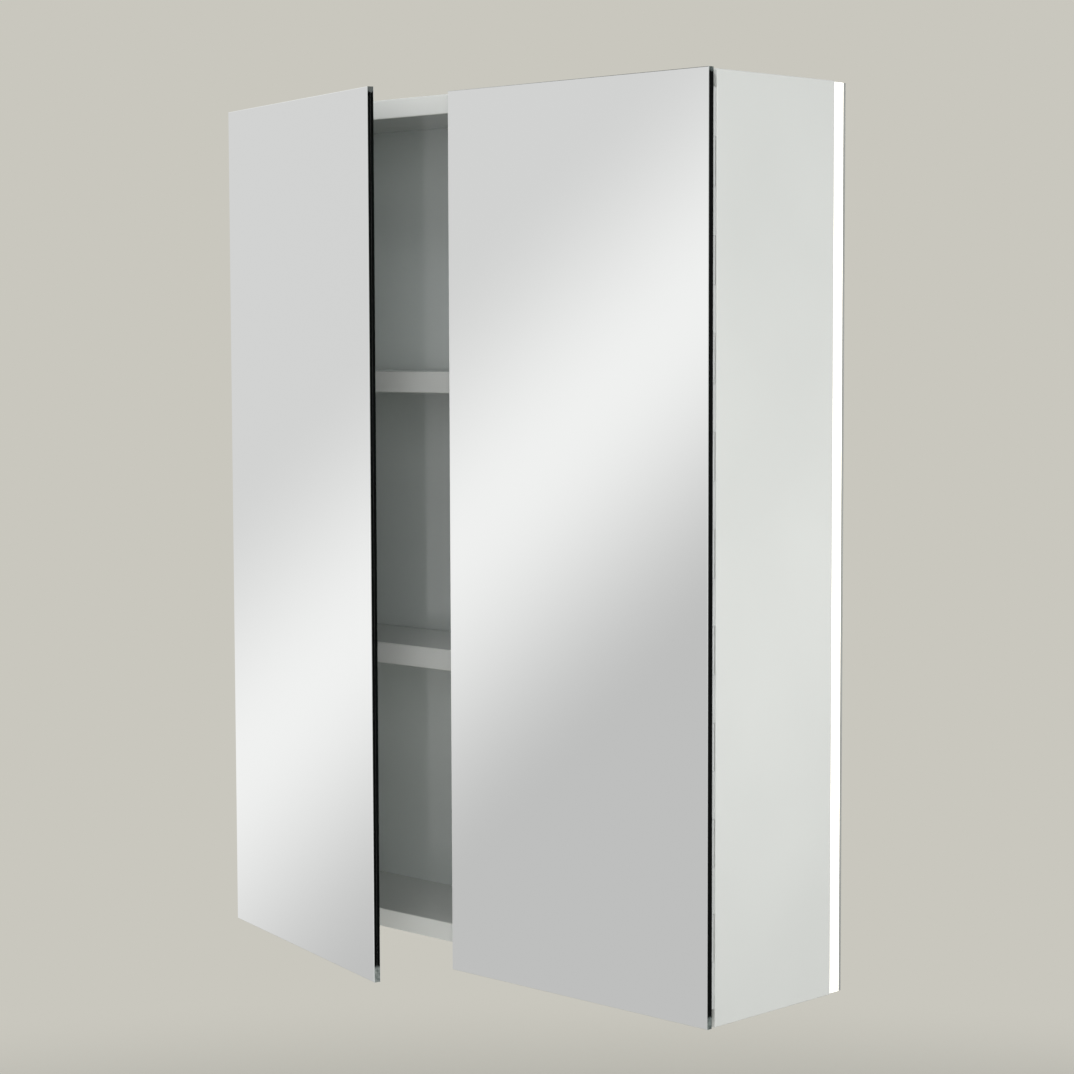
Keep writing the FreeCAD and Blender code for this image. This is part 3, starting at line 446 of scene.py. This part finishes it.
# Cast polyurethane: a milky clear, soft dome with a slight haze
def makeClearDome():
    finish, tree, shader = newFinish("castClearPolyurethane")
    spot = addNode(tree, "TexCoord").outputs["Object"]
    haze = addNode(tree, "TexNoise", {"Scale": 1 / (clearCast["haze"] * mm), "Detail": 2}, {"Vector": spot})
    rough = addNode(tree, "MapRange", {"From Min": 0.3, "From Max": 0.7, "To Min": clearCast["gloss"][0],
                                       "To Max": clearCast["gloss"][1]}, {"Value": haze.outputs["Fac"]})
    shader.inputs["Base Color"].default_value = linear(clearCast["body"])
    shader.inputs["IOR"].default_value = 1.49
    shader.inputs["Transmission Weight"].default_value = clearCast["clear"]
    tree.links.new(rough.outputs["Result"], shader.inputs["Roughness"])
    return finish


beech = {
    "early": "#d3b08a",
    "late": "#b98f66",
    "ring": 4,  # mm between growth rings
    "fibre": (0.6, 12),  # mm across and along
    "rough": 0.65,
}


# Planed beech, raw: pinkish straw with close rings and short dark flecks
def makeBeech():
    finish, tree, shader = newFinish("planedBeech")
    spot = addNode(tree, "TexCoord").outputs["Object"]
    # a Wave texture of scale 1 runs through 20 radians in a metre
    rings = addNode(tree, "TexWave", {"Scale": 2 * math.pi / (20 * beech["ring"] * mm), "Distortion": 4,
                                      "Detail": 2, "bands_direction": "X"}, {"Vector": spot})
    stretch = [1 / (beech["fibre"][1 if axis == "z" else 0] * mm) for axis in "xyz"]
    drawn = addNode(tree, "Mapping", {"Scale": stretch}, {"Vector": spot})
    flecks = addNode(tree, "TexNoise", {"Scale": 1, "Detail": 2}, {"Vector": drawn.outputs["Vector"]})
    blend = addNode(tree, "Math", {"operation": "MULTIPLY"},
                    {0: rings.outputs["Fac"], 1: flecks.outputs["Fac"]})
    tone = addNode(tree, "ValToRGB", links={"Fac": blend.outputs[0]},
                   stops=[(0.1, beech["early"]), (0.6, beech["late"])])
    shader.inputs["Roughness"].default_value = beech["rough"]
    tree.links.new(tone.outputs["Color"], shader.inputs["Base Color"])
    return finish


leftHinge = next(joint for joint in frame["joints"] if joint["child"] == "left_door")
leftTurn = math.radians(-leftHinge["range_deg"][0])  # the left door stands ajar, its lower limit is shut
faceWays = {
    "left_front_pane": (-math.sin(leftTurn), -math.cos(leftTurn), 0),
    "left_rear_pane": (math.sin(leftTurn), math.cos(leftTurn), 0),
    "right_front_pane": (0, -1, 0),
    "right_rear_pane": (0, 1, 0),
}
uprightAluminium = makeAnodised("anodisedAluminiumUpright", "z")
levelAluminium = makeAnodised("anodisedAluminiumLevel", "x")
uprightZinc = makeZinc("zincPlatedSteelUpright", "z")
levelZinc = makeZinc("zincPlatedSteelLevel", "x")
clearDome = makeClearDome()
hardboardInteriorLight = makeLacquer("lacqueredHardboardInteriorLight")
whiteAbs = makeMoulded("injectionMouldedAbs")
finishes = {
    "white_lacquer": makeLacquer("sprayedPolyurethaneLacquer"),
    "beech": makeBeech(),
    "black_film": makeFilm(),
    "satin_steel": levelZinc,
    "grey_powder_coat": makePowderCoatAndGapShade(),
    "white_plastic": whiteAbs,
    "clear_bumper": clearDome,
    "opal_acrylic": makeOpal(),
    "led_tape": makeTape(),
    "grey_sheet": makeCoverSheet(),
    "lead_jacket": makeMoulded("extrudedPvcJacket"),
    "grommet_rubber": makeMoulded("mouldedEpdmRubber"),
}
for name, node in cadNodes.items():
    for holder in node.material_slots:
        slotName = holder.material.name
        if name in faceWays:
            side, face = name.split("_")[:2]
            glassName = "silveredFloatGlass" + side.title() + face.title()
            holder.material = makeMirror(glassName, faceWays[name], mirror["endLight"][side])
        elif slotName == "anodised_aluminium":
            holder.material = uprightAluminium if name.startswith(("left", "right")) else levelAluminium
        elif name.endswith(("hinge_pin", "hinge_screws")):
            holder.material = uprightZinc
        elif name == "back_panel":
            holder.material = hardboardInteriorLight
        else:
            holder.material = finishes[slotName]
for name in frame["record"]["behaviour"]["bodies"]["left_door"]:
    cadNodes[name].visible_glossy = False  # the right mirror stays clear of the door that stands ajar
print("finishes on all nodes")


# Small fittings that take the place of plain solids, their lengths in mm

creaseAngle = 32  # degrees between faces, past which an edge stays sharp


# a lathed shape from (radius, height) points, turned round Z
def turned(profile, steps):
    shape = bmesh.new()
    points = [shape.verts.new((radius * mm, 0, height * mm)) for radius, height in profile]
    line = [shape.edges.new(pair) for pair in zip(points, points[1:])]
    bmesh.ops.spin(shape, geom=points + line, cent=(0, 0, 0), axis=(0, 0, 1), dvec=(0, 0, 0),
                   angle=2 * math.pi, steps=steps, use_merge=True)
    bmesh.ops.remove_doubles(shape, verts=shape.verts, dist=0.001 * mm)
    return shape


# copies of one shape at their seats, its Z axis laid along way, as one piece on the carcass
def fittings(name, shape, seats, way, looks, stoodFor):
    bmesh.ops.recalc_face_normals(shape, faces=shape.faces)
    pattern = bpy.data.meshes.new(name + "Pattern")
    shape.to_mesh(pattern)
    shape.free()
    whole = bmesh.new()
    turn = Vector((0, 0, 1)).rotation_difference(Vector(way)).to_matrix().to_4x4()
    for seat in seats:
        count = len(whole.verts)
        whole.from_mesh(pattern)
        whole.verts.ensure_lookup_table()
        bmesh.ops.transform(whole, matrix=Matrix.Translation(seat) @ turn, verts=whole.verts[count:])
    for face in whole.faces:
        face.smooth = True
    mesh = bpy.data.meshes.new(name)
    whole.to_mesh(mesh)
    whole.free()
    bpy.data.meshes.remove(pattern)
    mesh.set_sharp_from_angle(angle=math.radians(creaseAngle))
    for look in looks:
        mesh.materials.append(look)
    piece = bpy.data.objects.new(name, mesh)
    bpy.context.scene.collection.objects.link(piece)
    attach(piece, "carcass")
    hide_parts(stoodFor)
    print(name, "made,", len(seats), "of them")


panScrew = {
    "headRadius": 2.6,
    "headHeight": 1.2,
    "shankRadius": 1.5,
    "point": 2.5,  # length of the tapered tip
    "crossReach": 1.45,  # arms of the cross recess
    "crossWidth": 0.55,
    "crossDepth": 0.7,
    "crossTaper": 0.72,
    "steps": 28,
    "perHinge": 5,
    "perCover": (2, 3),  # columns and rows
    "hangerPitch": 30,  # between the two screws of a hanger
}


# Pan head screw with a cross recess, its seat at the origin and its head along +Z
def panScrewShape(length):
    head, height, shank = panScrew["headRadius"], panScrew["headHeight"], panScrew["shankRadius"]
    shape = turned([(0.7 * head, height), (0.87 * head, 0.84 * height), (0.97 * head, 0.5 * height),
                    (head, 0.12 * height), (head, 0), (shank, 0), (shank, panScrew["point"] - length),
                    (0, -length)], panScrew["steps"])
    rim = [edge for edge in shape.edges if edge.is_boundary]
    reach, half = panScrew["crossReach"], panScrew["crossWidth"] / 2
    arm = [(reach, -half), (reach, half), (half, half)]  # a quarter of the cross
    corners = []
    for quarter in range(4):
        spin = Matrix.Rotation(quarter * math.pi / 2, 2)
        corners += [shape.verts.new((*(spin @ Vector(point) * mm), height * mm)) for point in arm]
    cross = [shape.edges.new(pair) for pair in zip(corners, corners[1:] + corners[:1])]
    bmesh.ops.bridge_loops(shape, edges=rim + cross)
    walls = bmesh.ops.extrude_edge_only(shape, edges=cross)["geom"]
    lower = [item for item in walls if isinstance(item, bmesh.types.BMVert)]
    bmesh.ops.scale(shape, vec=(panScrew["crossTaper"], panScrew["crossTaper"], 1), verts=lower)
    bmesh.ops.translate(shape, vec=(0, 0, -panScrew["crossDepth"] * mm), verts=lower)
    bmesh.ops.holes_fill(shape, edges=[edge for edge in shape.edges if edge.is_boundary], sides=0)
    return shape


# evenly spaced places of fittings between the ends of a node's box
def spaced(low, high, count, margin):
    first, last = low + margin * mm, high - margin * mm
    return [first + (last - first) * number / (count - 1) for number in range(count)]


headRadius = panScrew["headRadius"]
for side in ("left", "right"):
    node = side + "_hinge_screws"
    low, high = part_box(node)
    seatY = low.y + panScrew["headHeight"] * mm
    rows = spaced(low.z, high.z, panScrew["perHinge"], headRadius)
    seats = [((low.x + high.x) / 2, seatY, z) for z in rows]
    fittings(side + "HingePanScrews", panScrewShape((high.y - seatY) / mm), seats, (0, -1, 0),
             [uprightZinc], node)

low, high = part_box("cover_screws")
seatY = high.y - panScrew["headHeight"] * mm
columns = spaced(low.x, high.x, panScrew["perCover"][0], headRadius)
rows = spaced(low.z, high.z, panScrew["perCover"][1], headRadius)
seats = [(x, seatY, z) for x in columns for z in rows]
fittings("coverPanScrews", panScrewShape((seatY - low.y) / mm), seats, (0, 1, 0), [levelZinc],
         "cover_screws")

low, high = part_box("hanger_screws")
seatZ = low.z + panScrew["headHeight"] * mm
first, last = spaced(low.x, high.x, 2, headRadius)
pitch = panScrew["hangerPitch"] * mm
columns = (first, first + pitch, last - pitch, last)
seats = [(x, (low.y + high.y) / 2, seatZ) for x in columns]
fittings("hangerPanScrews", panScrewShape((high.z - seatZ) / mm), seats, (0, 0, -1), [levelZinc],
         "hanger_screws")

bumper = {
    "radius": 4,
    "height": 4,
    "steps": 36,
}
radius, tall = bumper["radius"], bumper["height"]
dome = turned([(0, 0), (radius, 0), (radius, 0.25 * tall), (0.97 * radius, 0.45 * tall),
               (0.86 * radius, 0.68 * tall), (0.66 * radius, 0.86 * tall), (0.36 * radius, 0.97 * tall),
               (0, tall)], bumper["steps"])
low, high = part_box("door_bumpers")
columns = spaced(low.x, high.x, 2, radius)
rows = spaced(low.z, high.z, 2, radius)
seats = [(x, high.y, z) for x in columns for z in rows]
fittings("domedBumpers", dome, seats, (0, -1, 0), [clearDome], "door_bumpers")

catch = {
    "radius": 5,
    "wall": 1.3,  # plastic sleeve round the magnet
    "nose": 0.5,  # rounded nose of the sleeve
    "sunk": 0.3,  # magnet below the nose
    "steps": 40,
}
low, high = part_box("magnet_catches")
reach = (high.y - low.y) / mm
radius, nose, sunk = catch["radius"], catch["nose"], catch["sunk"]
inner = radius - catch["wall"]
sleeve = turned([(0, -reach), (radius - nose, -reach), (radius, nose - reach), (radius, -nose),
                 (radius - 0.3 * nose, -0.3 * nose), (radius - nose, 0), (inner, 0), (inner, -sunk),
                 (0, -sunk)], catch["steps"])
for face in sleeve.faces:
    middle = face.calc_center_median()
    if middle.xy.length < 0.95 * inner * mm and middle.z > -0.5 * reach * mm:
        face.material_index = 1  # the magnet's own face
seats = [(x, low.y, (low.z + high.z) / 2) for x in spaced(low.x, high.x, 2, radius)]
fittings("sleevedMagnets", sleeve, seats, (0, -1, 0), [whiteAbs, levelZinc],
         "magnet_catches")


# Stage: floor, light and camera

stage = {
    "floorLevel": -1.85,  # m, the cabinet hangs at head height
    "floorRadius": 4.4,  # m
    "floorFade": 2.4,  # m from the middle where the floor begins to fade
    "paper": "#c9c7be",
    "rough": 0.9,
}
shape = bmesh.new()
bmesh.ops.create_circle(shape, cap_ends=True, segments=96, radius=stage["floorRadius"])
bmesh.ops.translate(shape, vec=(0, 0, stage["floorLevel"]), verts=shape.verts)
floorMesh = bpy.data.meshes.new("paleFloor")
shape.to_mesh(floorMesh)
shape.free()
floor = bpy.data.objects.new("paleFloor", floorMesh)
bpy.context.scene.collection.objects.link(floor)

# matt paint that fades out, so that the floor runs into the backdrop
finish, tree, shader = newFinish("mattFloorPaint")
spot = addNode(tree, "TexCoord").outputs["Object"]
level = addNode(tree, "VectorMath", {"operation": "MULTIPLY", 1: (1, 1, 0)}, {0: spot})
reach = addNode(tree, "VectorMath", {"operation": "LENGTH"}, {0: level.outputs["Vector"]})
fade = addNode(tree, "MapRange", {"From Min": stage["floorFade"], "From Max": stage["floorRadius"],
                                  "To Min": 1, "To Max": 0, "interpolation_type": "SMOOTHSTEP"},
               {"Value": reach.outputs["Value"]})
shader.inputs["Base Color"].default_value = linear(stage["paper"])
shader.inputs["Roughness"].default_value = stage["rough"]
tree.links.new(fade.outputs["Result"], shader.inputs["Alpha"])
floorMesh.materials.append(finish)

light = {
    "ambient": "#f7f9f8",
    "ambientStrength": 0.35,
    # two soft bands of light that lean across the mirrors, one for each door: share of a sweep, and tone
    "band": [(0.0, "#d9d9d9"), (0.16, "#d9d9d9"), (0.227, "#f8f8f8"), (0.307, "#c5c5c5"),
             (0.375, "#c5c5c5"), (0.435, "#d9d9d9"), (0.493, "#d9d9d9"), (0.56, "#f8f8f8"),
             (0.64, "#c5c5c5"), (0.82, "#c5c5c5"), (0.95, "#d9d9d9")],
    "bandTurn": 0.60426,  # sweeps for each radian round the object
    "bandRise": -0.6158,  # sweeps for each radian upwards
    "bandStart": 0.99974,
    "behind": (2.6, 3.0),  # radians round, where the band runs out into an even tone
    "behindTone": "#d2d2d2",
    "ceiling": (0.7, 0.86),  # radians up, where the room overhead goes dark
    "ceilingTone": 0.02,
}
world = bpy.data.worlds.new("softStudio")
bpy.context.scene.world = world
world.use_nodes = True
tree = world.node_tree
tree.nodes.clear()
way = addNode(tree, "TexCoord").outputs["Generated"]
parts = addNode(tree, "SeparateXYZ", links={"Vector": way})
outward = addNode(tree, "Math", {"operation": "MULTIPLY", 1: -1}, {0: parts.outputs["Y"]})
around = addNode(tree, "Math", {"operation": "ARCTAN2"}, {0: parts.outputs["X"], 1: outward.outputs[0]})
rise = addNode(tree, "Math", {"operation": "ARCSINE"}, {0: parts.outputs["Z"]})
sweep = addNode(tree, "Math", {"operation": "MULTIPLY_ADD", 1: light["bandTurn"], 2: light["bandStart"]},
                {0: around.outputs[0]})
lean = addNode(tree, "Math", {"operation": "MULTIPLY_ADD", 1: light["bandRise"]},
               {0: rise.outputs[0], 2: sweep.outputs[0]})
share = addNode(tree, "Math", {"operation": "FRACT"}, {0: lean.outputs[0]})
band = addNode(tree, "ValToRGB", links={"Fac": share.outputs[0]}, stops=light["band"])
band.color_ramp.interpolation = "EASE"
overhead = addNode(tree, "MapRange", {"From Min": light["ceiling"][0], "From Max": light["ceiling"][1],
                                      "To Min": 1, "To Max": light["ceilingTone"],
                                      "interpolation_type": "SMOOTHSTEP"}, {"Value": rise.outputs[0]})
rays = addNode(tree, "LightPath")
ambient = addNode(tree, "Background", {"Color": linear(light["ambient"]),
                                       "Strength": light["ambientStrength"]})
aside = addNode(tree, "Math", {"operation": "ABSOLUTE"}, {0: around.outputs[0]})
behind = addNode(tree, "MapRange", {"From Min": light["behind"][0], "From Max": light["behind"][1],
                                    "interpolation_type": "SMOOTHSTEP"}, {"Value": aside.outputs[0]})
room = addNode(tree, "Mix", {"data_type": "RGBA", 7: linear(light["behindTone"])},
               {0: behind.outputs["Result"], 6: band.outputs["Color"]})
shine = addNode(tree, "Background",
                links={"Color": room.outputs[2], "Strength": overhead.outputs["Result"]})
paper = addNode(tree, "Background", {"Color": linear(stage["paper"]), "Strength": 1})
clear = addNode(tree, "Math", {"operation": "LESS_THAN", 1: 0.5}, {0: rays.outputs["Diffuse Depth"]})
mirrored = addNode(tree, "Math", {"operation": "MULTIPLY"},
                   {0: rays.outputs["Is Glossy Ray"], 1: clear.outputs[0]})
lit = addNode(tree, "MixShader",
              links={0: mirrored.outputs[0], 1: ambient.outputs[0], 2: shine.outputs[0]})
seen = addNode(tree, "Math", {"operation": "MAXIMUM"},
               {0: rays.outputs["Is Camera Ray"], 1: rays.outputs["Is Transmission Ray"]})
backdrop = addNode(tree, "MixShader", links={0: seen.outputs[0], 1: lit.outputs[0], 2: paper.outputs[0]})
addNode(tree, "OutputWorld", links={"Surface": backdrop.outputs[0]})

aim = Vector((0, -0.1, -0.3))  # middle of the cabinet
lamps = {
    "keyFromRight": {"place": (2.0, 0.1, -0.3), "size": 1.2, "watts": 10.2},
    "nearRight": {"place": (0.85, -0.1, -0.31), "size": 0.3, "watts": 0.53},
    "frontRight": {"place": (1.67, -1.99, 0.1), "size": 1.6, "watts": 17.2},
    "topFront": {"place": (0.3, -1.4, 1.9), "size": 1.4, "watts": 15},
    "lowFront": {"place": (-0.05, -0.45, -1.1), "size": 0.4, "watts": 0.86},
    "fillFromLeft": {"place": (-2.2, -2.2, 0.8), "size": 2.4, "watts": 44.7},
    "backSoft": {"place": (-0.8, 2.8, 0.9), "size": 2.4, "watts": 40},
}
for name, lamp in lamps.items():
    glow = bpy.data.lights.new(name, "AREA")
    glow.shape = "DISK"
    glow.size = lamp["size"]
    glow.energy = lamp["watts"]
    holder = bpy.data.objects.new(name, glow)
    holder.location = lamp["place"]
    holder.rotation_euler = (aim - holder.location).to_track_quat("-Z", "Y").to_euler()
    holder.visible_glossy = False  # the mirrors show the soft band, not the lamps
    holder.visible_camera = False
    bpy.context.scene.collection.objects.link(holder)
print("floor, world and", len(lamps), "lamps placed")

eye = {
    "place": (1.67763, -1.77454, -0.13281),
    "right": (0.7136377, 0.7005079, -0.0031472),
    "up": (-0.0509899, 0.0564254, 0.9971039),
    "forward": (-0.6986568, 0.7114104, -0.0759861),
    "lens": 88.807,  # mm
    "sensor": 36,  # mm
}
camera = bpy.data.objects.new("eye", bpy.data.cameras.new("eye"))
camera.data.lens = eye["lens"]
camera.data.sensor_width = eye["sensor"]
axes = Matrix((eye["right"], eye["up"], -Vector(eye["forward"]))).transposed()
camera.matrix_world = Matrix.Translation(eye["place"]) @ axes.to_4x4()
bpy.context.scene.collection.objects.link(camera)
bpy.context.scene.camera = camera
bpy.context.scene.view_settings.view_transform = "Standard"
print("camera set")
